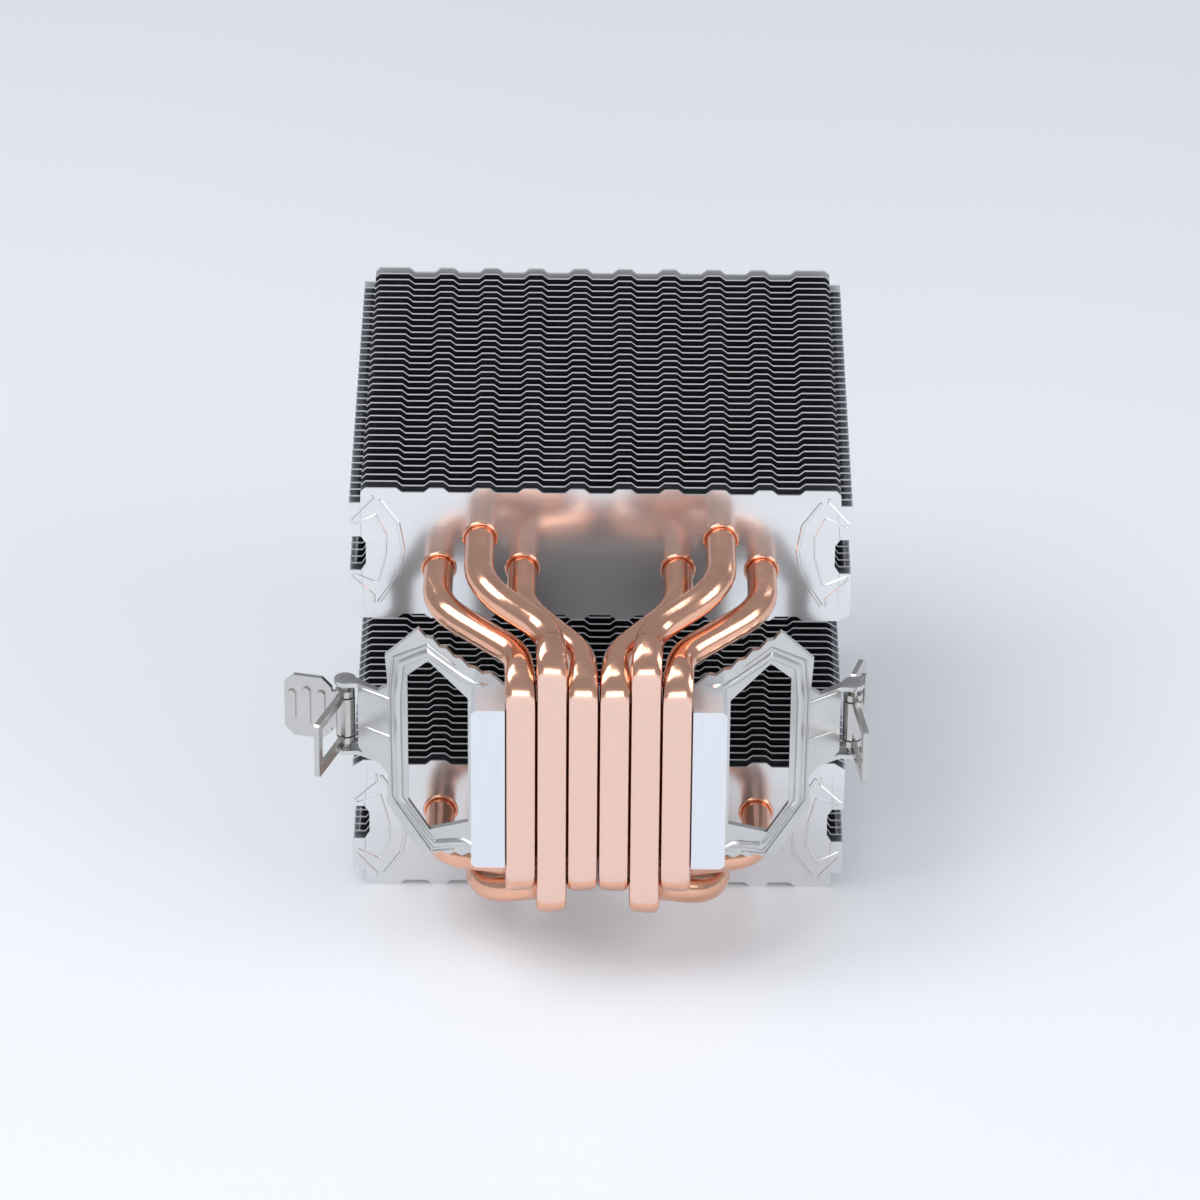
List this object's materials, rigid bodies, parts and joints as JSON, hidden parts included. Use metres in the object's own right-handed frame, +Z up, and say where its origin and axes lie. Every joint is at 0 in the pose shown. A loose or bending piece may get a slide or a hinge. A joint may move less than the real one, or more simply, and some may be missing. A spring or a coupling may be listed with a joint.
{
  "type": "dual-tower cpu air cooler",
  "caption": "Twin fin-stack processor cooler with copper heat pipes in direct contact with the chip, an aluminium base block and a steel mounting plate with swinging clips.",
  "frame": {"origin": "centre of the processor contact face, where the flattened heat pipes meet the chip", "axes": "+Y from the contact face into the fin towers; +X across the cooler, from the arm whose finger lever points sideways to the other arm; +Z up, from the lower tower, on whose outer fin edges the cooler lies, to the upper tower"},
  "size_m": [0.1196, 0.1364, 0.0954],
  "materials": {
    "fin_aluminium": "bright rolled sheet",
    "pipe_copper": "polished copper, matte where milled",
    "block_aluminium": "milled, fine satin",
    "plate_steel": "nickel-plated sheet",
    "clip_steel": "nickel-plated spring steel",
    "pin_steel": "bright pin"
  },
  "bodies": {
    "root": {"upper_bottom_fin": "fin_aluminium", "upper_middle_fins": "fin_aluminium", "upper_top_fin": "fin_aluminium", "lower_bottom_fin": "fin_aluminium", "lower_middle_fins": "fin_aluminium", "lower_top_fin": "fin_aluminium", "heat_pipe_1": "pipe_copper", "heat_pipe_2": "pipe_copper", "heat_pipe_3": "pipe_copper", "heat_pipe_4": "pipe_copper", "heat_pipe_5": "pipe_copper", "heat_pipe_6": "pipe_copper", "base_block": "block_aluminium", "mounting_plate": "plate_steel", "left_pivot_pin": "pin_steel", "right_pivot_pin": "pin_steel"},
    "left_lever": {"left_finger_lever": "clip_steel"},
    "left_hook": {"left_hook_plate": "clip_steel"},
    "right_lever": {"right_finger_lever": "clip_steel"},
    "right_hook": {"right_hook_plate": "clip_steel"}
  },
  "joints": [
    {"name": "left_lever_swing", "type": "hinge", "parent": "root", "child": "left_lever", "pos_m": [-0.0518, 0.0284, 0], "axis": [0, 0, -1], "range_deg": [-45, 67]},
    {"name": "left_hook_swing", "type": "hinge", "parent": "root", "child": "left_hook", "pos_m": [-0.0518, 0.0284, 0], "axis": [0, 0, -1], "range_deg": [-40, 5]},
    {"name": "right_lever_swing", "type": "hinge", "parent": "root", "child": "right_lever", "pos_m": [0.0518, 0.0284, 0], "axis": [0, 0, 1], "range_deg": [-105, 7]},
    {"name": "right_hook_swing", "type": "hinge", "parent": "root", "child": "right_hook", "pos_m": [0.0518, 0.0284, 0], "axis": [0, 0, 1], "range_deg": [-28, 17]}
  ]
}
